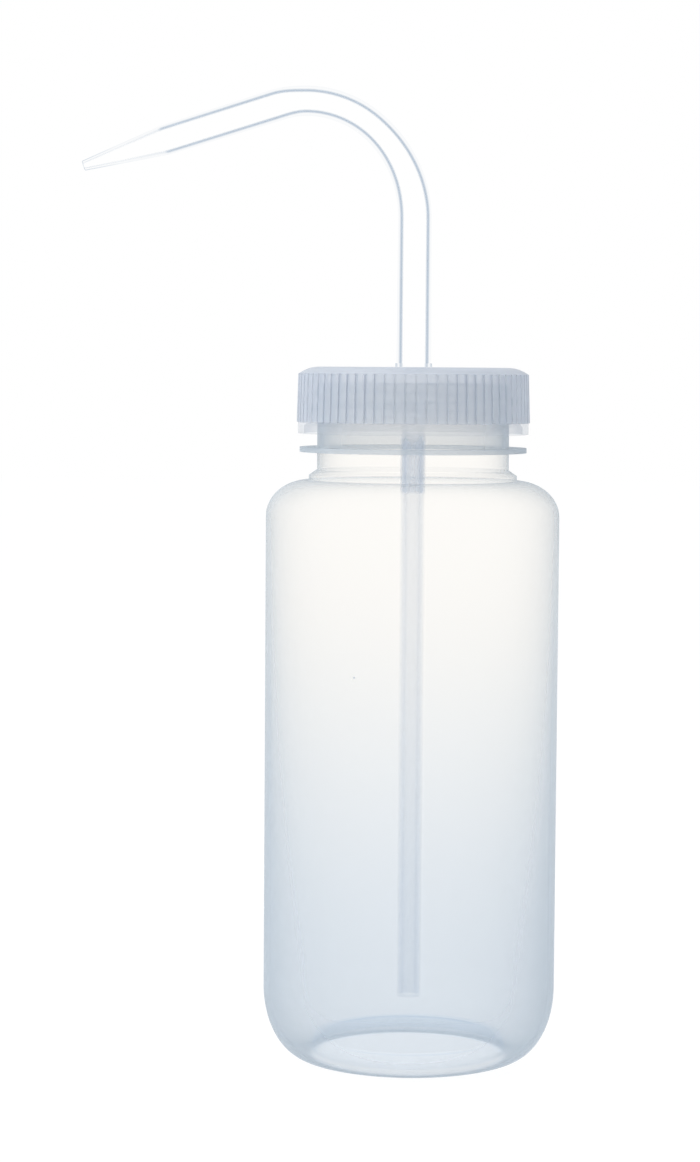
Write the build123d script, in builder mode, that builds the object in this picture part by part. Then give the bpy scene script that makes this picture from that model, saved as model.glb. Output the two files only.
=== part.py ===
# Laboratory wash bottle: a blown bottle, a ribbed screw closure, a bent spout and a dip tube.
# Millimetres, Z up. The origin is the centre of the base, on the surface that the bottle stands on,
# and the spout points along -X.

import math
import os

from build123d import *

# Bottle body
body_diameter = 73.5
body_wall = 1.2
base_wall = 1.5
heel_width = 10.8
heel_height = 17.9
foot_width = 2.6
push_up = 5.8
push_up_edge = 5.0
push_up_side = 1.15
push_up_round = 0.8
straight_wall_top = 136.5
shoulder_rise = 9.1

# Collar, neck and flange of the bottle
collar_step = 2.05
collar_height = 1.2
collar_foot_round = 0.8
collar_round = 0.5
neck_blend_height = 1.4
neck_blend_round = 1.0
neck_diameter = 48.0
neck_wall = 1.7
neck_below_flange = 4.4
flange_width = 4.4
flange_thickness = 1.2
flange_round = 0.4
neck_above_flange = 16.0
throat_round = 1.5
rim_round = 0.4

# Screw thread, six turns to the inch, with one ridge form for neck and closure
thread_pitch = 25.4 / 6
thread_depth = 1.9
thread_root_width = 2.2
thread_crest_width = 1.0
thread_bite = 0.4
thread_clearance = 0.4
thread_run_out = 14.0
neck_thread_turns = 1.5
neck_thread_below_rim = 2.3
closure_thread_turns = 1.35
closure_thread_lead = 0.4

# Closure
closure_height = 16.6
top_thickness = 1.6
rim_headroom = 2.4
skirt_wall = 2.35
skirt_draft = 1.7
rib_count = 72
rib_height = 0.5
rib_gap = 0.6
rib_top_drop = 1.7
bevel_width = 3.0
bevel_round = 1.2
top_round = 8.0
band_height = 2.9
band_wall = 1.5
band_step = 0.3
band_round = 0.4
plug_wall = 1.3
plug_depth = 2.4
plug_round = 0.4
boss_diameter = 10.0
boss_height = 3.0

# Spout
spigot_diameter = 4.6
spigot_bore = 3.0
spigot_length = 31.1
spigot_chamfer = 0.4
spout_collar_diameter = 9.2
spout_collar_height = 0.9
riser_height = 36.9
riser_foot_diameter = 8.7
riser_top_diameter = 8.3
riser_bore = 6.4
bend_radius_low = 30.0
bend_angle_low = 50.4
bend_radius_high = 25.5
bend_angle_high = 57.3
crown_height = 7.4
crown_width = 8.3
crown_bore_height = 5.3
crown_bore_width = 6.2
arm_length = 28.8
arm_start_diameter = 7.9
arm_end_diameter = 7.4
arm_bore = 5.9
tip_length = 21.3
tip_end_diameter = 2.5
tip_orifice = 1.5
tip_round = 0.3

# Dip tube
dip_tube_diameter = 6.3
dip_tube_bore = 4.4
dip_tube_floor_gap = 7.7
socket_wall = 0.95
socket_cone = 2.0

# Clearances between pieces
swivel_clearance = 0.05
face_clearance = 0.1
seal_clearance = 0.2

# Radii and heights of the bottle, from the base up
body_radius = body_diameter / 2
foot_outer_radius = body_radius - heel_width
foot_inner_radius = foot_outer_radius - foot_width
push_up_radius = foot_inner_radius - push_up_side
floor_radius = push_up_radius + body_wall
land_radius = foot_inner_radius + body_wall
floor_height = push_up + base_wall
neck_radius = neck_diameter / 2
neck_bore_radius = neck_radius - neck_wall
collar_radius = neck_radius + collar_step
flange_radius = neck_radius + flange_width
shoulder_top = straight_wall_top + shoulder_rise
collar_top = shoulder_top + collar_height
neck_foot = collar_top + neck_blend_height
flange_bottom = neck_foot + neck_below_flange
flange_top = flange_bottom + flange_thickness
rim_height = flange_top + neck_above_flange
neck_thread_start = rim_height - neck_thread_below_rim - neck_thread_turns * thread_pitch

# Radii and heights of the closure, which sits on the rim
ceiling_height = rim_height + rim_headroom
closure_top = ceiling_height + top_thickness
closure_bottom = closure_top - closure_height
rib_bottom = closure_bottom + band_height
rib_top = closure_top - rib_top_drop
closure_bore_radius = neck_radius + thread_depth + thread_clearance
rib_radius = closure_bore_radius + skirt_wall + rib_height
rib_top_radius = rib_radius - (rib_top - rib_bottom) * math.tan(math.radians(skirt_draft))
band_radius = rib_radius - band_step
band_bore_radius = band_radius - band_wall
band_taper = band_bore_radius - closure_bore_radius
plug_radius = neck_bore_radius - seal_clearance
plug_end = rim_height - plug_depth
boss_radius = boss_diameter / 2
boss_end = ceiling_height - boss_height
seat_height = rim_height + face_clearance
closure_thread_start = rib_bottom + closure_thread_lead + thread_root_width / 2

# Heights of the spout and the dip tube, which hang from the closure
spout_seat = closure_top + face_clearance
spout_collar_top = spout_seat + spout_collar_height
bend_start = closure_top + riser_height
spigot_end = closure_top - spigot_length
socket_bore_radius = spigot_diameter / 2 + swivel_clearance
socket_radius = socket_bore_radius + socket_wall
socket_bottom = spigot_end - face_clearance
dip_tube_top = boss_end - face_clearance
dip_tube_bottom = floor_height + dip_tube_floor_gap


def thread_ridge(root_radius, outward, start_angle, start_height, turns):
    """A ridge wound up a cylinder, its root sunk a little into the wall and its ends sloped away."""
    with BuildPart() as ridge:
        with BuildLine():
            winding = Helix(thread_pitch, turns * thread_pitch, root_radius, center=(0, 0, start_height))
        with BuildSketch(Plane(origin=winding @ 0, x_dir=(outward, 0, 0), z_dir=winding % 0)):
            with BuildLine():
                Polyline(
                    (-thread_bite, -thread_root_width / 2),
                    (thread_depth, -thread_crest_width / 2),
                    (thread_depth, thread_crest_width / 2),
                    (-thread_bite, thread_root_width / 2),
                    close=True,
                )
            make_face()
        sweep(path=winding, is_frenet=True)
        sunk_radius = root_radius - outward * thread_bite
        crest_radius = root_radius + outward * (thread_depth + thread_bite)
        clear_radius = root_radius + outward * 3 * thread_depth
        end_height = start_height + turns * thread_pitch
        for height, angle, onward in ((start_height, 0, -1), (end_height, turns * 360, 1)):
            with BuildSketch(Plane.XY.offset(height - thread_pitch / 2)):
                with BuildLine():
                    Polyline(
                        Vector(sunk_radius, 0).rotate(Axis.Z, angle),
                        Vector(crest_radius, 0).rotate(Axis.Z, angle - onward * thread_run_out),
                        Vector(clear_radius, 0).rotate(Axis.Z, angle),
                        Vector(crest_radius, 0).rotate(Axis.Z, angle + onward * thread_run_out),
                        close=True,
                    )
                make_face()
            extrude(amount=thread_pitch, mode=Mode.SUBTRACT)
    return ridge.part.rotate(Axis.Z, start_angle)


# The closure's ridge runs half a pitch below the neck's, all the way round
closure_thread_rise = closure_thread_start + thread_pitch / 2 - neck_thread_start
closure_thread_angle = 360 * closure_thread_rise / thread_pitch
neck_ridge = thread_ridge(neck_radius, 1, 0, neck_thread_start, neck_thread_turns)
closure_ridge = thread_ridge(
    closure_bore_radius, -1, closure_thread_angle, closure_thread_start, closure_thread_turns
)

with BuildPart() as bottle:
    with BuildSketch(Plane.XZ) as outside:
        with BuildLine():
            push_up_arc = TangentArc((0, push_up), (push_up_radius, push_up_edge), tangent=(1, 0))
            Polyline(push_up_arc @ 1, (foot_inner_radius, 0), (foot_outer_radius, 0))
            heel = EllipticalCenterArc(
                (foot_outer_radius, heel_height), heel_width, heel_height, start_angle=-90, arc_size=90
            )
            wall = Line(heel @ 1, (body_radius, straight_wall_top))
            shoulder = EllipticalCenterArc(
                (collar_radius, straight_wall_top), body_radius - collar_radius, shoulder_rise, arc_size=90
            )
            Polyline(
                shoulder @ 1,
                (collar_radius, collar_top),
                (neck_radius, neck_foot),
                (neck_radius, flange_bottom),
                (flange_radius, flange_bottom),
                (flange_radius, flange_top),
                (neck_radius, flange_top),
                (neck_radius, rim_height),
                (0, rim_height),
                push_up_arc @ 0,
            )
        make_face()
        corners = outside.vertices()
        fillet(corners.sort_by_distance((push_up_radius, push_up_edge))[0], push_up_round)
        fillet(corners.sort_by_distance((collar_radius, shoulder_top))[0], collar_foot_round)
        fillet(corners.sort_by_distance((collar_radius, collar_top))[0], collar_round)
        fillet(corners.sort_by_distance((neck_radius, neck_foot))[0], neck_blend_round)
        fillet(corners.sort_by_distance((flange_radius, flange_top))[:2], flange_round)
    revolve(axis=Axis.Z)
    add(neck_ridge)
    with BuildSketch(Plane.XZ) as inside:
        with BuildLine():
            floor_arc = TangentArc(
                (0, floor_height), (floor_radius, push_up_edge + base_wall), tangent=(1, 0)
            )
            Polyline(floor_arc @ 1, (land_radius, base_wall), (foot_outer_radius, base_wall))
            corner = EllipticalCenterArc(
                (foot_outer_radius, heel_height),
                heel_width - body_wall,
                heel_height - base_wall,
                start_angle=-90,
                arc_size=90,
            )
            side = Line(corner @ 1, (body_radius - body_wall, straight_wall_top))
            ceiling = EllipticalCenterArc(
                (collar_radius, straight_wall_top),
                body_radius - body_wall - collar_radius,
                shoulder_rise - body_wall,
                arc_size=90,
            )
            Polyline(
                ceiling @ 1,
                (neck_bore_radius, shoulder_top - body_wall),
                (neck_bore_radius, rim_height),
                (0, rim_height),
                floor_arc @ 0,
            )
        make_face()
        corners = inside.vertices()
        floor_edge = corners.sort_by_distance((floor_radius, push_up_edge + base_wall))[0]
        fillet(floor_edge, push_up_round + body_wall)
        throat = corners.sort_by_distance((neck_bore_radius, shoulder_top - body_wall))[0]
        fillet(throat, throat_round)
    revolve(axis=Axis.Z, mode=Mode.SUBTRACT)
    rim = bottle.edges().filter_by(GeomType.CIRCLE).group_by(Axis.Z)[-1]
    fillet(rim, rim_round)
bottle.part.label = "bottle"

with BuildPart() as rib_gap_cutter:
    with BuildSketch(Plane.XZ):
        with BuildLine():
            Polyline(
                (rib_radius - rib_height, rib_bottom),
                (rib_radius + rib_height, rib_bottom),
                (rib_radius + rib_height, rib_top),
                (rib_top_radius - rib_height, rib_top),
                close=True,
            )
        make_face()
    extrude(amount=rib_gap / 2, both=True)

with BuildPart() as closure:
    with BuildSketch(Plane.XZ) as shell:
        with BuildLine():
            Polyline(
                (0, closure_bottom),
                (band_radius, closure_bottom),
                (band_radius, rib_bottom),
                (rib_radius, rib_bottom),
                (rib_top_radius, rib_top),
                (rib_top_radius - bevel_width, closure_top),
                (0, closure_top),
                close=True,
            )
        make_face()
        corners = shell.vertices()
        fillet(corners.sort_by_distance((rib_top_radius - bevel_width, closure_top))[0], top_round)
        fillet(corners.sort_by_distance((rib_top_radius, rib_top))[0], bevel_round)
        fillet(corners.sort_by_distance((band_radius, closure_bottom))[0], band_round)
    revolve(axis=Axis.Z)
    with PolarLocations(0, rib_count):
        add(rib_gap_cutter.part, mode=Mode.SUBTRACT)
    with BuildSketch(Plane.XZ) as cavity:
        with BuildLine():
            Polyline(
                (0, closure_bottom),
                (band_bore_radius, closure_bottom),
                (band_bore_radius, rib_bottom - band_taper),
                (closure_bore_radius, rib_bottom),
                (closure_bore_radius, ceiling_height),
                (neck_radius, ceiling_height),
                (neck_radius, seat_height),
                (plug_radius, seat_height),
                (plug_radius, plug_end),
                (plug_radius - plug_wall, plug_end),
                (plug_radius - plug_wall, ceiling_height),
                (boss_radius, ceiling_height),
                (boss_radius, boss_end),
                (0, boss_end),
                close=True,
            )
        make_face()
        lip = cavity.vertices().sort_by_distance((plug_radius - plug_wall / 2, plug_end))[:2]
        fillet(lip, plug_round)
    revolve(axis=Axis.Z, mode=Mode.SUBTRACT)
    with Locations((0, 0, closure_top)):
        Hole(socket_bore_radius)
    add(closure_ridge)
closure.part.label = "closure"

with BuildLine(Plane.XZ) as bend_line:
    low_arc = JernArc((0, bend_start), (0, 1), bend_radius_low, bend_angle_low)
    high_arc = JernArc(low_arc @ 1, low_arc % 1, bend_radius_high, bend_angle_high)

bend_foot = Plane(origin=low_arc @ 0, x_dir=(0, 1, 0), z_dir=low_arc % 0)
bend_crown = Plane(origin=low_arc @ 1, x_dir=(0, 1, 0), z_dir=low_arc % 1)
bend_end = Plane(origin=high_arc @ 1, x_dir=(0, 1, 0), z_dir=high_arc % 1)
arm_plane = Plane(origin=high_arc @ 1, x_dir=high_arc % 1, z_dir=(0, -1, 0))
arm_axis = Axis(origin=high_arc @ 1, direction=high_arc % 1)


def bent_rod(foot_diameter, crown_span, crown_depth, end_diameter):
    """The bend as a rod, round at both ends and flattened in its own plane where the two arcs meet."""
    with BuildPart() as rod:
        with BuildSketch(bend_foot) as foot_section:
            Circle(foot_diameter / 2)
        with BuildSketch(bend_crown) as crown_section:
            Ellipse(crown_span / 2, crown_depth / 2)
        with BuildSketch(bend_end) as end_section:
            Circle(end_diameter / 2)
        sweep(
            sections=[foot_section.sketch, crown_section.sketch, end_section.sketch],
            path=bend_line.line,
            multisection=True,
        )
    return rod.part


bend_outside = bent_rod(riser_top_diameter, crown_width, crown_height, arm_start_diameter)
bend_bore = bent_rod(riser_bore, crown_bore_width, crown_bore_height, arm_bore)

with BuildPart() as spout:
    with BuildSketch(Plane.XZ) as riser_outside:
        with BuildLine():
            Polyline(
                (0, spigot_end),
                (spigot_diameter / 2, spigot_end),
                (spigot_diameter / 2, spout_seat),
                (spout_collar_diameter / 2, spout_seat),
                (spout_collar_diameter / 2, spout_collar_top),
                (riser_foot_diameter / 2, spout_collar_top),
                (riser_top_diameter / 2, bend_start),
                (0, bend_start),
                close=True,
            )
        make_face()
        spigot_corner = riser_outside.vertices().sort_by_distance((spigot_diameter / 2, spigot_end))[0]
        chamfer(spigot_corner, spigot_chamfer)
    revolve(axis=Axis.Z)
    add(bend_outside)
    with BuildSketch(arm_plane) as arm_outside:
        with BuildLine():
            Polyline(
                (0, 0),
                (0, arm_start_diameter / 2),
                (arm_length, arm_end_diameter / 2),
                (arm_length + tip_length, tip_end_diameter / 2),
                (arm_length + tip_length, 0),
                close=True,
            )
        make_face()
        fillet(arm_outside.vertices().sort_by(Axis.X)[-2:].sort_by(Axis.Y)[-1], tip_round)
    revolve(axis=arm_axis)
    with BuildSketch(Plane.XZ):
        with BuildLine():
            Polyline(
                (0, spigot_end),
                (spigot_bore / 2, spigot_end),
                (spigot_bore / 2, spout_collar_top),
                (riser_bore / 2, spout_collar_top),
                (riser_bore / 2, bend_start),
                (0, bend_start),
                close=True,
            )
        make_face()
    revolve(axis=Axis.Z, mode=Mode.SUBTRACT)
    add(bend_bore, mode=Mode.SUBTRACT)
    with BuildSketch(arm_plane):
        with BuildLine():
            Polyline(
                (0, 0),
                (0, arm_bore / 2),
                (arm_length, arm_bore / 2),
                (arm_length + tip_length, tip_orifice / 2),
                (arm_length + tip_length, 0),
                close=True,
            )
        make_face()
    revolve(axis=arm_axis, mode=Mode.SUBTRACT)
spout.part.label = "spout"

with BuildPart() as dip_tube:
    with BuildSketch(Plane.XZ):
        with BuildLine():
            Polyline(
                (dip_tube_bore / 2, dip_tube_bottom),
                (dip_tube_diameter / 2, dip_tube_bottom),
                (dip_tube_diameter / 2, socket_bottom - socket_cone),
                (socket_radius, socket_bottom),
                (socket_radius, dip_tube_top),
                (socket_bore_radius, dip_tube_top),
                (socket_bore_radius, socket_bottom),
                (dip_tube_bore / 2, socket_bottom - socket_cone),
                close=True,
            )
        make_face()
    revolve(axis=Axis.Z)
dip_tube.part.label = "dip_tube"

os.makedirs("parts", exist_ok=True)
export_step(bottle.part, "parts/bottle.step")
export_step(closure.part, "parts/closure.step")
export_step(spout.part, "parts/spout.step")
export_step(dip_tube.part, "parts/dip_tube.step")
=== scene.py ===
"""Looks of a laboratory wash bottle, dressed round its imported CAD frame.

Metres, Z up, the same frame as the CAD: the origin is the centre of the base and the spout points along -X.
"""

import math

import bmesh
import bpy
from mathutils import Matrix, Vector


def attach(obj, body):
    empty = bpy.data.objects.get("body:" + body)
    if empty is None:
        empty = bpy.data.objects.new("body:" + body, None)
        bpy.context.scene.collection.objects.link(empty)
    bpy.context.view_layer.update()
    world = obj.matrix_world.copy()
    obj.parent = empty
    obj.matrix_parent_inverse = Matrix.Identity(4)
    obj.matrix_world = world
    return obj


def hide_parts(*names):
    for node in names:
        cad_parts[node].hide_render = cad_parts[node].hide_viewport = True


bl_info = {
    "name": "Wash bottle",
    "version": (1, 0, 0),
    "blender": (4, 5, 0),
    "location": "3D view > Sidebar > Wash bottle",
    "description": "Dresses the packed parts of a laboratory wash bottle as milky and clear plastic",
    "category": "Object",
}

MM = 0.001
WHITE = (1.0, 1.0, 1.0, 1.0)
CAMERA_PLACE = (-15.55 * MM, -750 * MM, 172.5 * MM)
CAMERA_DOWN = math.radians(3.993)
CAMERA_ROLL = math.radians(0.4)
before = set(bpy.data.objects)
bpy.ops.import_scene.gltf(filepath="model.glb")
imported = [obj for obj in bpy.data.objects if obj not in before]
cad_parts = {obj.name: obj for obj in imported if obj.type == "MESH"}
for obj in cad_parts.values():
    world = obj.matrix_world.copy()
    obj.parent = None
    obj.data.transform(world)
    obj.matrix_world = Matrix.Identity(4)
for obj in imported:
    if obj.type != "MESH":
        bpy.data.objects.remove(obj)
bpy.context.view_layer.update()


def linear(code):
    """Linear red, green and blue of an sRGB hex colour."""
    channels = [int(code[i : i + 2], 16) / 255 for i in (1, 3, 5)]
    return tuple(c / 12.92 if c <= 0.04045 else ((c + 0.055) / 1.055) ** 2.4 for c in channels)


def opaque(colour):
    """A colour with full alpha, as a shader's colour socket takes it."""
    return (*colour, 1.0)


def add_node(tree, kind, inputs=None, **settings):
    """Adds a node, gives it its settings, and fills or links its inputs by name or number."""
    made = tree.nodes.new(kind)
    for name, value in settings.items():
        setattr(made, name, value)
    for key, value in (inputs or {}).items():
        if isinstance(value, bpy.types.NodeSocket):
            tree.links.new(value, made.inputs[key])
        else:
            made.inputs[key].default_value = value
    return made


def maths(tree, operation, a, b=0.0, c=0.0):
    """One step of a formula, on sockets or plain numbers."""
    return add_node(tree, "ShaderNodeMath", {0: a, 1: b, 2: c}, operation=operation).outputs[0]


def ramp(tree, value, start, end, low, high, kind="SMOOTHSTEP"):
    """Goes from low, where the value is start or less, to high, where it is end or more."""
    wanted = {"Value": value, "From Min": start, "From Max": end, "To Min": low, "To Max": high}
    return add_node(tree, "ShaderNodeMapRange", wanted, interpolation_type=kind).outputs[0]


def mixed(tree, share, first, second):
    """A colour between two, by the share of the second."""
    return add_node(tree, "ShaderNodeMix", {0: share, 6: first, 7: second}, data_type="RGBA").outputs[2]


def new_material(name):
    """An empty node material, its tree and its output node."""
    material = bpy.data.materials.new(name)
    material.use_nodes = True
    tree = material.node_tree
    tree.nodes.clear()
    return material, tree, add_node(tree, "ShaderNodeOutputMaterial")


def dress(node_name, material):
    """Gives a CAD node its material in place of the plain one."""
    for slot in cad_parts[node_name].material_slots:
        slot.material = material


class BottleSettings(bpy.types.PropertyGroup):
    """Colours and haze of the blown bottle, with painted shade towards the base and painted warm light at the shoulder.
    """

    scatter: bpy.props.FloatVectorProperty(
        name="Milky colour",
        description="Colour that the polyethylene scatters back",
        subtype="COLOR",
        default=linear("#B9C3CC"),
    )
    # Painted light and shade: the passing tint is cool towards the base and warm towards the shoulder, not a change in
    # the plastic.
    painted_cool_shade_tint: bpy.props.FloatVectorProperty(
        name="Passing tint at the base",
        description="Colour left of white light after one thickness of the thick lower wall",
        subtype="COLOR",
        default=linear("#F9FCFF"),
    )
    painted_warm_light_tint: bpy.props.FloatVectorProperty(
        name="Passing tint at the shoulder",
        description="Colour left of white light after one thickness of the thin upper wall",
        subtype="COLOR",
        default=linear("#FFFEFC"),
    )
    # Painted shade: the haze grows from the shoulder down to the base, so the lower body renders darker and bluer; the
    # milkiness itself is the plastic's own.
    base_haze_with_painted_shade: bpy.props.FloatProperty(
        name="Haze at the base",
        description="Optical depth of the lowest wall, seen square on",
        min=0.0,
        default=0.345,
    )
    haze_high: bpy.props.FloatProperty(
        name="Haze at the shoulder",
        description="Optical depth of the highest wall, seen square on",
        min=0.0,
        default=0.01,
    )
    roughness: bpy.props.FloatProperty(
        name="Roughness", description="Satin of the blown surface", subtype="FACTOR", min=0.0, max=1.0, default=0.42
    )
    edge: bpy.props.FloatProperty(
        name="Edge loss", description="Share mirrored away at grazing angles", min=0.0, max=1.0, default=0.78
    )
    neck_haze: bpy.props.FloatProperty(
        name="More haze in the neck", description="Optical depth added above the flange", min=0.0, default=0.27
    )
    flange_haze: bpy.props.FloatProperty(
        name="More haze in the flange", description="Optical depth added in the flange", min=0.0, default=0.9
    )
    panel_share: bpy.props.FloatProperty(
        name="Share of haze in the base",
        description="Haze left in the pushed-up base",
        min=0.0,
        max=1.0,
        default=0.05,
    )
    speck: bpy.props.FloatProperty(
        name="Speck", description="Width of the dark speck in the front wall", unit="LENGTH", default=0.5 * MM
    )


class ClosureSettings(bpy.types.PropertyGroup):
    """Colours and haze of the moulded closure."""

    scatter: bpy.props.FloatVectorProperty(
        name="Milky colour",
        description="Colour that the polypropylene scatters back",
        subtype="COLOR",
        default=linear("#CAD1DB"),
    )
    haze: bpy.props.FloatProperty(
        name="Haze", description="Optical depth of the skirt, seen square on", min=0.0, default=0.8
    )
    band_haze: bpy.props.FloatProperty(
        name="Haze of the band", description="Optical depth of the plain band below the ribs", min=0.0, default=0.1
    )
    roughness: bpy.props.FloatProperty(
        name="Roughness", description="Satin of the moulded surface", subtype="FACTOR", min=0.0, max=1.0, default=0.3
    )


class SpoutSettings(bpy.types.PropertyGroup):
    """Sizes and colours of the drawn spout."""

    # Painted refraction: the lines of the bore and the rim are painted in this colour.
    edge: bpy.props.FloatVectorProperty(
        name="Edge colour",
        description="Colour of the lines where the bore's wall is seen edge on",
        subtype="COLOR",
        default=linear("#B6C5D5"),
    )
    riser: bpy.props.FloatProperty(
        name="Start of the bend", description="Height at which the bend starts", unit="LENGTH", default=210.7 * MM
    )
    low_radius: bpy.props.FloatProperty(
        name="Low bend radius", description="Radius of the first arc's middle line", unit="LENGTH", default=30.0 * MM
    )
    low_angle: bpy.props.FloatProperty(
        name="Low bend angle", description="Turn of the first arc", subtype="ANGLE", default=math.radians(50.4)
    )
    high_radius: bpy.props.FloatProperty(
        name="High bend radius",
        description="Radius of the second arc's middle line",
        unit="LENGTH",
        default=25.5 * MM,
    )
    high_angle: bpy.props.FloatProperty(
        name="High bend angle", description="Turn of the second arc", subtype="ANGLE", default=math.radians(57.3)
    )
    sides: bpy.props.IntProperty(name="Sides", description="Faces round the tube", min=12, max=128, default=64)


class DipTubeSettings(bpy.types.PropertyGroup):
    """Colours and haze of the dip tube."""

    scatter: bpy.props.FloatVectorProperty(
        name="Milky colour",
        description="Colour that the tube's plastic scatters back",
        subtype="COLOR",
        default=linear("#BECBDD"),
    )
    haze: bpy.props.FloatProperty(
        name="Haze", description="Optical depth of the tube's wall, seen square on", min=0.0, default=0.15
    )
    bell_haze: bpy.props.FloatProperty(
        name="Haze of the belled top", description="Optical depth round the spout's spigot", min=0.0, default=0.42
    )
    hidden_share: bpy.props.FloatProperty(
        name="Share of haze in the closure",
        description="Haze left inside the closure",
        min=0.0,
        max=1.0,
        default=0.15,
    )
    roughness: bpy.props.FloatProperty(
        name="Roughness",
        description="Satin of the extruded surface",
        subtype="FACTOR",
        min=0.0,
        max=1.0,
        default=0.35,
    )


class StageSettings(bpy.types.PropertyGroup):
    """The pale floor, the soft light and the camera."""

    ambient: bpy.props.FloatVectorProperty(
        name="Soft light",
        description="Colour of the light from all round",
        subtype="COLOR",
        default=linear("#F8FAFD"),
    )
    ambient_strength: bpy.props.FloatProperty(name="Strength", description="Strength of that light", default=0.85)
    lens: bpy.props.FloatProperty(
        name="Lens", description="Focal length for a 36 mm sensor", unit="CAMERA", default=92.73
    )


class WashBottleSettings(bpy.types.PropertyGroup):
    """All the settings of the wash bottle."""

    bottle: bpy.props.PointerProperty(type=BottleSettings)
    closure: bpy.props.PointerProperty(type=ClosureSettings)
    spout: bpy.props.PointerProperty(type=SpoutSettings)
    dip_tube: bpy.props.PointerProperty(type=DipTubeSettings)
    stage: bpy.props.PointerProperty(type=StageSettings)


class Spot:
    """A point of a piece as its material meets it: its place, its distance from the axis and which way it faces."""

    def __init__(self, tree):
        coordinates = add_node(tree, "ShaderNodeTexCoord").outputs
        self.tree, self.place, self.normal = tree, coordinates["Object"], coordinates["Normal"]
        self.x, self.y, self.z = add_node(tree, "ShaderNodeSeparateXYZ", {0: self.place}).outputs
        level = add_node(tree, "ShaderNodeVectorMath", {0: self.place, 1: (1.0, 1.0, 0.0)}, operation="MULTIPLY")
        self.radius = add_node(
            tree, "ShaderNodeVectorMath", {0: level.outputs[0]}, operation="LENGTH"
        ).outputs["Value"]
        self.facing = add_node(tree, "ShaderNodeLayerWeight", {"Blend": 0.5}).outputs["Facing"]
        self.cosine = maths(tree, "SUBTRACT", 1.0, self.facing)

    def faces_away(self, height):
        """1 where the real normal points away from a height on the axis, whichever side the ray comes from."""
        centre = (0.0, 0.0, height)
        away = add_node(self.tree, "ShaderNodeVectorMath", {0: self.place, 1: centre}, operation="SUBTRACT")
        wanted = {0: self.normal, 1: away.outputs[0]}
        along = add_node(self.tree, "ShaderNodeVectorMath", wanted, operation="DOT_PRODUCT").outputs["Value"]
        back = add_node(self.tree, "ShaderNodeNewGeometry").outputs["Backfacing"]
        side = maths(self.tree, "MULTIPLY_ADD", back, -2.0, 1.0)
        return maths(self.tree, "GREATER_THAN", maths(self.tree, "MULTIPLY", along, side), 0.0)


def flat_way(spot):
    """How many thicknesses of a flat wall a ray travels through: 1 / c, with c the cosine at which it meets it."""
    least_cosine = 0.3
    return maths(spot.tree, "DIVIDE", 1.0, maths(spot.tree, "MAXIMUM", spot.cosine, least_cosine))


def round_way(spot, wall, narrowest):
    """How many thicknesses of a round wall a ray travels through.

    It is (c - sqrt(k^2 - 1 + c^2)) / (1 - k), with k the share of the radius that the wall leaves. So the wall
    darkens up to its inner radius and clears again beyond it.
    """
    tree = spot.tree
    share = maths(tree, "SUBTRACT", 1.0, maths(tree, "DIVIDE", wall, maths(tree, "MAXIMUM", spot.radius, narrowest)))
    left = maths(tree, "MULTIPLY_ADD", share, share, -1.0)
    inside = maths(tree, "MAXIMUM", maths(tree, "MULTIPLY_ADD", spot.cosine, spot.cosine, left), 0.0)
    way = maths(tree, "SUBTRACT", spot.cosine, maths(tree, "SQRT", inside))
    return maths(tree, "DIVIDE", way, maths(tree, "SUBTRACT", 1.0, share))


def milky_plastic(name, scatter, roughness, depth_of, kept_of=None, tint_of=None):
    """Plastic that passes some light straight on and scatters the rest, half of it back and half of it through.

    Each function takes a Spot. depth_of gives the optical depth, kept_of the share that the surface doesn't mirror
    away and tint_of the colour left of white light.
    """
    material, tree, output = new_material(name)
    spot = Spot(tree)
    through = maths(tree, "EXPONENT", maths(tree, "MULTIPLY", depth_of(spot), -1.0))
    if kept_of:
        through = maths(tree, "MULTIPLY", through, kept_of(spot))
    surface = {"Base Color": opaque(scatter), "Roughness": roughness, "IOR": 1.5}
    body = add_node(tree, "ShaderNodeBsdfPrincipled", surface)
    glow = add_node(tree, "ShaderNodeBsdfTranslucent", {"Color": opaque(scatter)})
    milk = add_node(tree, "ShaderNodeMixShader", {0: 0.5, 1: body.outputs[0], 2: glow.outputs[0]})
    clear = add_node(tree, "ShaderNodeBsdfTransparent", {"Color": tint_of(spot) if tint_of else WHITE})
    shell = add_node(tree, "ShaderNodeMixShader", {0: through, 1: milk.outputs[0], 2: clear.outputs[0]})
    tree.links.new(shell.outputs[0], output.inputs["Surface"])
    return material


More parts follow.
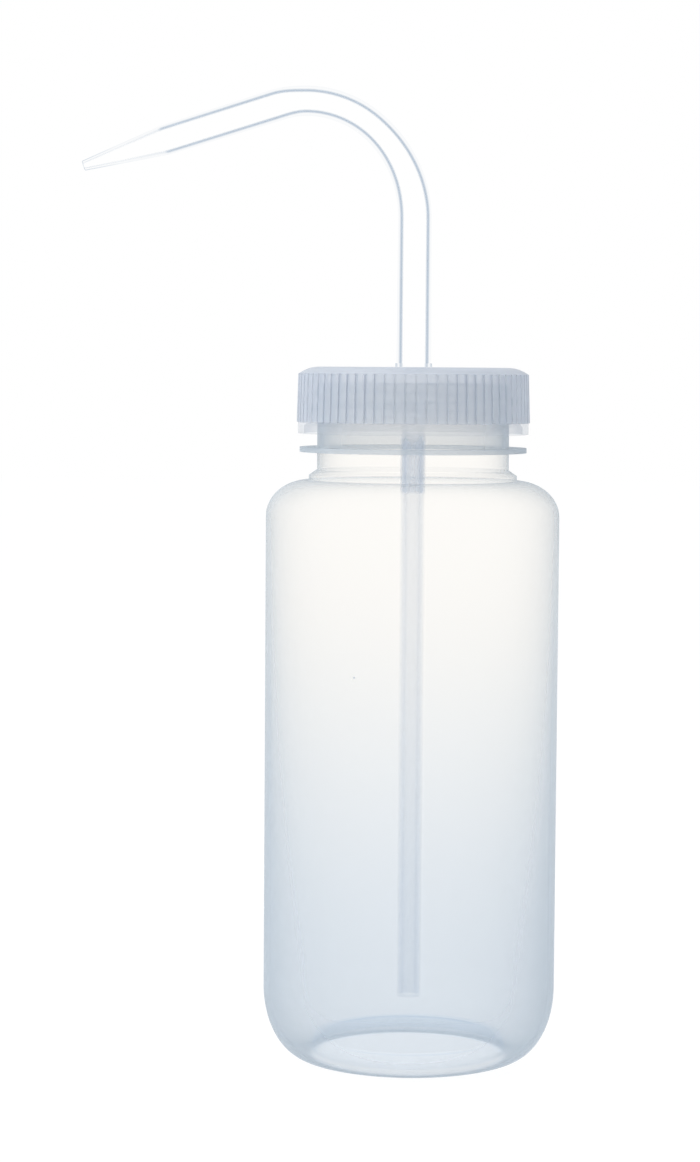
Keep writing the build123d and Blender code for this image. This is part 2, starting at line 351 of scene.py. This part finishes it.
class WASHBOTTLE_OT_bottle(bpy.types.Operator):
    """Dress the bottle as blown milky polyethylene"""

    bl_idname = "washbottle.bottle"
    bl_label = "Bottle"

    def execute(self, context):
        settings = context.scene.wash_bottle.bottle
        middle = 80 * MM
        wall, narrowest = 1.3 * MM, 22 * MM
        speck_place, speck_depth = (-14.4 * MM, 0.0, 99.2 * MM), 1.6

        def speck_of(spot):
            level = add_node(spot.tree, "ShaderNodeCombineXYZ", {0: spot.x, 2: spot.z}).outputs[0]
            wanted = {0: level, 1: speck_place}
            near = add_node(spot.tree, "ShaderNodeVectorMath", wanted, operation="DISTANCE").outputs["Value"]
            dot = ramp(spot.tree, near, 0.2 * settings.speck, 0.7 * settings.speck, speck_depth, 0.0, "LINEAR")
            return maths(spot.tree, "MULTIPLY", dot, maths(spot.tree, "LESS_THAN", spot.y, 0.0))

        def haze_of(spot):
            tree = spot.tree
            # Painted shade: the haze rises as the height falls, darkening the lower body.
            haze_and_painted_shade = ramp(tree, spot.z, -25 * MM, 145 * MM, settings.base_haze_with_painted_shade, settings.haze_high)
            neck = ramp(tree, spot.z, 152 * MM, 154 * MM, 0.0, settings.neck_haze)
            rim = ramp(tree, spot.radius, 26.2 * MM, 26.6 * MM, 0.0, 1.0, "LINEAR")
            flange = maths(tree, "MULTIPLY", rim, ramp(tree, spot.z, 150 * MM, 152 * MM, 0.0, settings.flange_haze))
            for more in (speck_of(spot), neck, flange):
                haze_and_painted_shade = maths(tree, "ADD", haze_and_painted_shade, more)
            beside_panel = ramp(tree, spot.radius, 24 * MM, 25.4 * MM, settings.panel_share, 1.0)
            above_panel = ramp(tree, spot.z, 8 * MM, 10 * MM, 0.0, 1.0)
            return maths(tree, "MULTIPLY", haze_and_painted_shade, maths(tree, "MAXIMUM", beside_panel, above_panel))

        def depth_of(spot):
            haze = maths(spot.tree, "MULTIPLY", haze_of(spot), spot.faces_away(middle))
            return maths(spot.tree, "MULTIPLY", haze, round_way(spot, wall, narrowest))

        def kept_of(spot):
            lost = maths(spot.tree, "MULTIPLY", maths(spot.tree, "POWER", spot.facing, 3.1), settings.edge)
            lost = maths(spot.tree, "MULTIPLY", lost, ramp(spot.tree, spot.z, 3 * MM, 14 * MM, 0.0, 1.0))
            lost = maths(spot.tree, "MULTIPLY", lost, spot.faces_away(middle))
            return maths(spot.tree, "SUBTRACT", 1.0, lost)

        def tint_of(spot):
            # Painted light and shade: the tint goes from cool at the base to warm at the shoulder.
            up = ramp(spot.tree, spot.z, 15 * MM, 120 * MM, 0.0, 1.0)
            skin = mixed(spot.tree, up, opaque(settings.painted_cool_shade_tint), opaque(settings.painted_warm_light_tint))
            return mixed(spot.tree, spot.faces_away(middle), WHITE, skin)

        material = milky_plastic(
            "milky polyethylene, blown", settings.scatter, settings.roughness, depth_of, kept_of, tint_of
        )
        dress("bottle", material)
        return {"FINISHED"}


class WASHBOTTLE_OT_closure(bpy.types.Operator):
    """Dress the closure as moulded milky polypropylene"""

    bl_idname = "washbottle.closure"
    bl_label = "Closure"

    def execute(self, context):
        settings = context.scene.wash_bottle.closure
        bore_side, top_plate = 26.45 * MM, 172.4 * MM
        band_top = (159.9 * MM, 160.3 * MM)

        def depth_of(spot):
            haze = ramp(spot.tree, spot.z, *band_top, settings.band_haze, settings.haze, "LINEAR")
            skirt = maths(spot.tree, "GREATER_THAN", spot.radius, bore_side)
            top = maths(spot.tree, "GREATER_THAN", spot.z, top_plate)
            haze = maths(spot.tree, "MULTIPLY", haze, maths(spot.tree, "MAXIMUM", skirt, top))
            return maths(spot.tree, "MULTIPLY", haze, flat_way(spot))

        material = milky_plastic("milky polypropylene, moulded", settings.scatter, settings.roughness, depth_of)
        dress("closure", material)
        return {"FINISHED"}


class WASHBOTTLE_OT_dip_tube(bpy.types.Operator):
    """Dress the dip tube as extruded milky polyethylene"""

    bl_idname = "washbottle.dip_tube"
    bl_label = "Dip tube"

    def execute(self, context):
        settings = context.scene.wash_bottle.dip_tube
        between_skins = 2.75 * MM
        wall, narrowest = 1.6 * MM, 3 * MM
        soft_cosine = 0.8

        def depth_of(spot):
            tree = spot.tree
            low = ramp(tree, spot.z, 142 * MM, 143 * MM, settings.haze, settings.bell_haze, "LINEAR")
            high = ramp(tree, spot.z, 155 * MM, 158 * MM, 1.0, settings.hidden_share, "LINEAR")
            haze = maths(tree, "MULTIPLY", low, high)
            haze = maths(tree, "MULTIPLY", haze, maths(tree, "GREATER_THAN", spot.radius, between_skins))
            haze = maths(tree, "MULTIPLY", haze, ramp(tree, spot.cosine, 0.0, soft_cosine, 0.0, 1.0))
            return maths(tree, "MULTIPLY", haze, round_way(spot, wall, narrowest))

        material = milky_plastic("milky polyethylene, extruded", settings.scatter, settings.roughness, depth_of)
        dress("dip_tube", material)
        return {"FINISHED"}


def spout_stations(settings):
    """The spout's skin as a closed walk of stations.

    A station has its way along the middle line, half its depth and half its width in mm, the bore's share of the
    radius, how strong the bore's painted line is there and how strong the painted line of the rim is.
    """
    seat, collar_top = 173.9 * MM, 174.8 * MM
    arm_length, tip_length = 28.8 * MM, 21.3 * MM
    bent_step, straight_step = 1.0 * MM, 6.0 * MM
    start = settings.riser
    crown = start + settings.low_radius * settings.low_angle
    end = crown + settings.high_radius * settings.high_angle
    crest = crown + 0.7 * (end - crown)
    arm = end + arm_length
    tip = arm + tip_length
    foot = 142.7 * MM
    corners = [
        (foot, 1.5, 1.5, 0.0, 0.0, 0.0),
        (collar_top, 1.5, 1.5, 0.0, 0.0, 0.0),
        (collar_top, 3.2, 3.2, 0.0, 0.0, 0.0),
        (start, 3.2, 3.2, 0.0, 0.0, 0.0),
        (crown, 2.65, 3.1, 0.0, 0.0, 0.0),
        (end, 2.95, 2.95, 0.0, 0.0, 0.0),
        (arm, 2.95, 2.95, 0.0, 0.0, 0.0),
        (tip, 0.75, 0.75, 0.0, 0.0, 0.0),
        (tip, 1.0, 1.0, 0.58, 0.2, 0.5),
        (tip - 0.09 * MM, 1.18, 1.18, 0.58, 0.2, 0.5),
        (tip - 0.3 * MM, 1.28, 1.28, 0.58, 0.2, 0.4),
        (tip - 9.0 * MM, 2.3, 2.3, 0.72, 0.12, 0.1),
        (arm + 1.0 * MM, 3.6, 3.6, 0.78, 0.16, 0.05),
        (arm, 3.7, 3.7, 0.79, 0.5, 0.05),
        (end, 3.95, 3.95, 0.76, 0.55, 0.05),
        (crest, 3.72, 4.1, 0.72, 0.55, 0.05),
        (crown, 3.7, 4.15, 0.73, 0.55, 0.05),
        (start, 4.15, 4.15, 0.79, 0.55, 0.05),
        (collar_top, 4.35, 4.35, 0.76, 0.55, 0.05),
        (collar_top, 4.6, 4.6, 0.7, 0.4, 0.35),
        (seat, 4.6, 4.6, 0.7, 0.4, 0.35),
        (seat, 2.3, 2.3, 0.0, 0.0, 0.0),
        (foot + 0.4 * MM, 2.3, 2.3, 0.0, 0.0, 0.0),
        (foot, 1.9, 1.9, 0.0, 0.0, 0.0),
    ]
    stations = []
    for here, there in zip(corners, corners[1:] + corners[:1]):
        bent = min(here[0], there[0]) >= start - 1e-9 and max(here[0], there[0]) <= end + 1e-9
        steps = max(1, math.ceil(abs(there[0] - here[0]) / (bent_step if bent else straight_step)))
        for step in range(steps):
            t = step / steps
            ease = t * t * (3 - 2 * t) if bent else t
            along = here[0] + (there[0] - here[0]) * t
            rest = [a + (b - a) * ease for a, b in zip(here[1:], there[1:])]
            stations.append((along, rest[0] * MM, rest[1] * MM, *rest[2:]))
    return stations


def bent_tube_tree():
    """Geometry nodes that wrap a closed walk of stations round a straight, two arcs and another straight."""
    tree = bpy.data.node_groups.new("Bent tube", "GeometryNodeTree")
    face = tree.interface
    face.new_socket(name="Stations", in_out="INPUT", socket_type="NodeSocketGeometry")
    for name in ("Start of the bend", "Low bend radius", "Low bend angle", "High bend radius", "High bend angle"):
        face.new_socket(name=name, in_out="INPUT", socket_type="NodeSocketFloat")
    face.new_socket(name="Sides", in_out="INPUT", socket_type="NodeSocketInt")
    face.new_socket(name="Material", in_out="INPUT", socket_type="NodeSocketMaterial")
    face.new_socket(name="Tube", in_out="OUTPUT", socket_type="NodeSocketGeometry")
    given = add_node(tree, "NodeGroupInput").outputs

    def turned(vector, angle):
        wanted = {"Vector": vector, "Axis": (0, 1, 0), "Angle": maths(tree, "MULTIPLY", angle, -1.0)}
        return add_node(tree, "ShaderNodeVectorRotate", wanted, rotation_type="AXIS_ANGLE").outputs[0]

    def arc(radius, angle):
        across = maths(tree, "MULTIPLY", radius, maths(tree, "SUBTRACT", maths(tree, "COSINE", angle), 1.0))
        up = maths(tree, "MULTIPLY", radius, maths(tree, "SINE", angle))
        return add_node(tree, "ShaderNodeCombineXYZ", {"X": across, "Z": up}).outputs[0]

    def summed(a, b):
        return add_node(tree, "ShaderNodeVectorMath", {0: a, 1: b}, operation="ADD").outputs[0]

    def scaled(vector, factor):
        return add_node(tree, "ShaderNodeVectorMath", {0: vector, "Scale": factor}, operation="SCALE").outputs[0]

    walk = add_node(tree, "GeometryNodeMeshToCurve", {"Mesh": given["Stations"]})
    station = add_node(tree, "GeometryNodeCaptureAttribute", {"Geometry": walk.outputs[0]})
    station.capture_items.new("VECTOR", "Station")
    tree.links.new(add_node(tree, "GeometryNodeInputPosition").outputs[0], station.inputs[1])
    ring = add_node(tree, "GeometryNodeCurvePrimitiveCircle", {"Resolution": given["Sides"], "Radius": 1.0})
    around = add_node(tree, "GeometryNodeCaptureAttribute", {"Geometry": ring.outputs[0]})
    around.capture_items.new("VECTOR", "Around")
    tree.links.new(add_node(tree, "GeometryNodeInputPosition").outputs[0], around.inputs[1])
    skin = add_node(tree, "GeometryNodeCurveToMesh", {"Curve": station.outputs[0], "Profile Curve": around.outputs[0]})

    along, depth, width = add_node(tree, "ShaderNodeSeparateXYZ", {0: station.outputs[1]}).outputs
    across, sideways, _ = add_node(tree, "ShaderNodeSeparateXYZ", {0: around.outputs[1]}).outputs
    low_radius, low_angle = given["Low bend radius"], given["Low bend angle"]
    high_radius, high_angle = given["High bend radius"], given["High bend angle"]
    past = maths(tree, "MAXIMUM", maths(tree, "SUBTRACT", along, given["Start of the bend"]), 0.0)
    low_turn = maths(tree, "MINIMUM", maths(tree, "DIVIDE", past, low_radius), low_angle)
    past_low = maths(tree, "SUBTRACT", past, maths(tree, "MULTIPLY", low_radius, low_angle))
    high_way = maths(tree, "MAXIMUM", past_low, 0.0)
    high_turn = maths(tree, "MINIMUM", maths(tree, "DIVIDE", high_way, high_radius), high_angle)
    past_high = maths(tree, "SUBTRACT", high_way, maths(tree, "MULTIPLY", high_radius, high_angle))
    arm_way = maths(tree, "MAXIMUM", past_high, 0.0)
    whole_turn = maths(tree, "ADD", low_turn, high_turn)
    up_way = maths(tree, "MINIMUM", along, given["Start of the bend"])
    rise = add_node(tree, "ShaderNodeCombineXYZ", {"Z": up_way}).outputs[0]
    low_arc = arc(low_radius, low_turn)
    high_arc = turned(arc(high_radius, high_turn), low_turn)
    arm = turned(add_node(tree, "ShaderNodeCombineXYZ", {"Z": arm_way}).outputs[0], whole_turn)
    middle = summed(summed(rise, low_arc), summed(high_arc, arm))
    outside = turned(add_node(tree, "ShaderNodeCombineXYZ", {"X": 1.0}).outputs[0], whole_turn)
    outwards = scaled(outside, maths(tree, "MULTIPLY", depth, across))
    beside = add_node(tree, "ShaderNodeCombineXYZ", {"Y": maths(tree, "MULTIPLY", width, sideways)}).outputs[0]
    wanted = {"Geometry": skin.outputs[0], "Position": summed(middle, summed(outwards, beside))}
    placed = add_node(tree, "GeometryNodeSetPosition", wanted)
    real = add_node(tree, "GeometryNodeRealizeInstances", {0: placed.outputs[0]})
    finished = add_node(tree, "GeometryNodeSetMaterial", {"Geometry": real.outputs[0], "Material": given["Material"]})
    add_node(tree, "NodeGroupOutput", {0: finished.outputs[0]})
    return tree


def clear_plastic(name, edge):
    """Clear drawn plastic with painted lines: the bore shows as a line painted in the edge colour where it is seen edge
    on through the wall, the rim only faintly.

    The sideways offset of a ray from the tube's middle line, as a share of the radius, is the sine of the angle
    at which it meets the outside, and the bore's edge shows where that share is the bore's own.
    """
    material, tree, output = new_material(name)
    line_width, rim_start, rim_end, glint_share = 0.15, 0.78, 0.98, 0.1
    ratio, line, rim = (
        add_node(tree, "ShaderNodeAttribute", attribute_name=share).outputs["Fac"] for share in ("ratio", "line", "rim")
    )
    cosine = maths(tree, "SUBTRACT", 1.0, add_node(tree, "ShaderNodeLayerWeight", {"Blend": 0.5}).outputs["Facing"])
    square = maths(tree, "SUBTRACT", 1.0, maths(tree, "MULTIPLY", cosine, cosine))
    offset = maths(tree, "SQRT", maths(tree, "MAXIMUM", square, 0.0))
    gap = maths(tree, "ABSOLUTE", maths(tree, "SUBTRACT", offset, ratio))
    # Painted refraction: the bore's and rim's lines are painted in the edge colour, where a clear tube would show its
    # bent surroundings.
    painted_bore_line = maths(tree, "MULTIPLY", ramp(tree, gap, 0.0, line_width, 1.0, 0.0), line)
    painted_rim_line = maths(tree, "MULTIPLY", ramp(tree, offset, rim_start, rim_end, 0.0, 1.0), rim)
    share = maths(tree, "MINIMUM", maths(tree, "ADD", painted_bore_line, painted_rim_line), 1.0)
    body = add_node(tree, "ShaderNodeBsdfPrincipled", {"Base Color": opaque(edge), "Roughness": 0.12, "IOR": 1.5})
    clear = add_node(tree, "ShaderNodeBsdfTransparent", {"Color": mixed(tree, share, WHITE, opaque(edge))})
    glint = maths(tree, "MULTIPLY", share, glint_share)
    wall = add_node(tree, "ShaderNodeMixShader", {0: glint, 1: clear.outputs[0], 2: body.outputs[0]})
    tree.links.new(wall.outputs[0], output.inputs["Surface"])
    return material


class WASHBOTTLE_OT_spout(bpy.types.Operator):
    """Build the bent spout from its middle line and dress it as clear drawn plastic"""

    bl_idname = "washbottle.spout"
    bl_label = "Spout"

    def execute(self, context):
        settings = context.scene.wash_bottle.spout
        walk = bmesh.new()
        layers = [walk.verts.layers.float.new(name) for name in ("ratio", "line", "rim")]
        verts = []
        for along, depth, width, *shares in spout_stations(settings):
            vert = walk.verts.new((along, depth, width))
            for layer, share in zip(layers, shares):
                vert[layer] = share
            verts.append(vert)
        for here, there in zip(verts, verts[1:] + verts[:1]):
            walk.edges.new((here, there))
        mesh = bpy.data.meshes.new("spout_walk")
        walk.to_mesh(mesh)
        walk.free()
        piece = bpy.data.objects.new("spout_tube", mesh)
        context.scene.collection.objects.link(piece)
        tree = bent_tube_tree()
        modifier = piece.modifiers.new("Bent tube", "NODES")
        modifier.node_group = tree
        wanted = {
            "Start of the bend": settings.riser,
            "Low bend radius": settings.low_radius,
            "Low bend angle": settings.low_angle,
            "High bend radius": settings.high_radius,
            "High bend angle": settings.high_angle,
            "Sides": settings.sides,
            "Material": clear_plastic("clear polyethylene, drawn", settings.edge),
        }
        for socket in tree.interface.items_tree:
            if socket.name in wanted:
                modifier[socket.identifier] = wanted[socket.name]
        made = bpy.data.meshes.new_from_object(piece.evaluated_get(context.evaluated_depsgraph_get()))
        piece.modifiers.remove(modifier)
        piece.data = made
        shell = bmesh.new()
        shell.from_mesh(made)
        bmesh.ops.recalc_face_normals(shell, faces=shell.faces)
        shell.to_mesh(made)
        shell.free()
        made.shade_smooth()
        made.set_sharp_from_angle(angle=math.radians(35))
        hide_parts("spout")
        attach(piece, "spout")
        return {"FINISHED"}


def seen_by_eye(tree):
    """1 for rays that show a thing to the camera, straight, mirrored or through glass, and 0 for those that light."""
    path = add_node(tree, "ShaderNodeLightPath").outputs
    shiny = maths(tree, "MAXIMUM", path["Is Glossy Ray"], path["Is Transmission Ray"])
    return maths(tree, "MAXIMUM", path["Is Camera Ray"], shiny)


class WASHBOTTLE_OT_stage(bpy.types.Operator):
    """Lay the pale floor, set the soft light and place the camera"""

    bl_idname = "washbottle.stage"
    bl_label = "Stage"

    def execute(self, context):
        settings = context.scene.wash_bottle.stage
        scene = context.scene
        table_top, glow_share = -0.1 * MM, 0.9
        scene.view_settings.view_transform = "Standard"
        scene.cycles.transparent_max_bounces = 96
        scene.cycles.max_bounces = 24
        scene.cycles.diffuse_bounces = 12

        world = bpy.data.worlds.new("soft white studio")
        scene.world = world
        world.use_nodes = True
        tree = world.node_tree
        tree.nodes.clear()
        soft = add_node(
            tree, "ShaderNodeBackground", {"Color": opaque(settings.ambient), "Strength": settings.ambient_strength}
        )
        white = add_node(tree, "ShaderNodeBackground", {"Color": WHITE, "Strength": 1.0})
        both = add_node(tree, "ShaderNodeMixShader", {0: seen_by_eye(tree), 1: soft.outputs[0], 2: white.outputs[0]})
        add_node(tree, "ShaderNodeOutputWorld", {"Surface": both.outputs[0]})

        material, tree, output = new_material("white table, matt")
        share = maths(tree, "MULTIPLY", seen_by_eye(tree), glow_share)
        matt = add_node(tree, "ShaderNodeBsdfDiffuse", {"Color": (0.92, 0.92, 0.92, 1.0)})
        glow = add_node(tree, "ShaderNodeEmission", {"Color": WHITE, "Strength": 1.03})
        top = add_node(tree, "ShaderNodeMixShader", {0: share, 1: matt.outputs[0], 2: glow.outputs[0]})
        tree.links.new(top.outputs[0], output.inputs["Surface"])
        table = bmesh.new()
        level = Matrix.Translation((0, 0, table_top))
        bmesh.ops.create_grid(table, x_segments=4, y_segments=4, size=4.0, matrix=level)
        mesh = bpy.data.meshes.new("table")
        table.to_mesh(mesh)
        table.free()
        mesh.materials.append(material)
        floor = bpy.data.objects.new("table", mesh)
        scene.collection.objects.link(floor)

        for name, place, aim, size, power, colour in (
            ("overhead softbox", (-0.15, 0.1, 0.9), (0, 0, 0.1), 0.8, 3.0, "#FFF8F0"),
            ("left softbox", (-0.8, -0.5, 0.6), (0, 0, 0.12), 0.5, 5.2, "#FFFFFF"),
            ("right softbox", (0.9, -0.4, 0.4), (0, 0, 0.12), 0.5, 0.6, "#F2F6FF"),
        ):
            lamp = bpy.data.lights.new(name, "AREA")
            lamp.shape = "SQUARE"
            lamp.size = size
            lamp.energy = power
            lamp.color = linear(colour)
            holder = bpy.data.objects.new(name, lamp)
            holder.location = place
            holder.rotation_euler = (Vector(aim) - Vector(place)).to_track_quat("-Z", "Y").to_euler()
            holder.visible_camera = False
            scene.collection.objects.link(holder)

        camera = bpy.data.cameras.new("camera")
        camera.lens = settings.lens
        camera.sensor_width = 36.0
        camera.clip_start = 0.05
        camera.clip_end = 20.0
        view = bpy.data.objects.new("camera", camera)
        look = Matrix.Rotation(math.radians(90) - CAMERA_DOWN, 4, "X") @ Matrix.Rotation(CAMERA_ROLL, 4, "Z")
        view.matrix_world = Matrix.Translation(CAMERA_PLACE) @ look
        scene.collection.objects.link(view)
        scene.camera = view
        return {"FINISHED"}


class WASHBOTTLE_PT_panel(bpy.types.Panel):
    """Lists the steps that dress the wash bottle"""

    bl_label = "Wash bottle"
    bl_idname = "WASHBOTTLE_PT_panel"
    bl_space_type = "VIEW_3D"
    bl_region_type = "UI"
    bl_category = "Wash bottle"

    def draw(self, context):
        for operator in OPERATORS:
            self.layout.operator(operator.bl_idname)


SETTINGS = (BottleSettings, ClosureSettings, SpoutSettings, DipTubeSettings, StageSettings, WashBottleSettings)
OPERATORS = (
    WASHBOTTLE_OT_stage,
    WASHBOTTLE_OT_bottle,
    WASHBOTTLE_OT_closure,
    WASHBOTTLE_OT_dip_tube,
    WASHBOTTLE_OT_spout,
)


def register():
    for kind in (*SETTINGS, *OPERATORS, WASHBOTTLE_PT_panel):
        bpy.utils.register_class(kind)
    bpy.types.Scene.wash_bottle = bpy.props.PointerProperty(type=WashBottleSettings)


def unregister():
    del bpy.types.Scene.wash_bottle
    for kind in reversed((*SETTINGS, *OPERATORS, WASHBOTTLE_PT_panel)):
        bpy.utils.unregister_class(kind)


def main():
    register()
    bpy.ops.washbottle.stage()
    bpy.ops.washbottle.bottle()
    bpy.ops.washbottle.closure()
    bpy.ops.washbottle.dip_tube()
    bpy.ops.washbottle.spout()


if __name__ == "__main__":
    main()
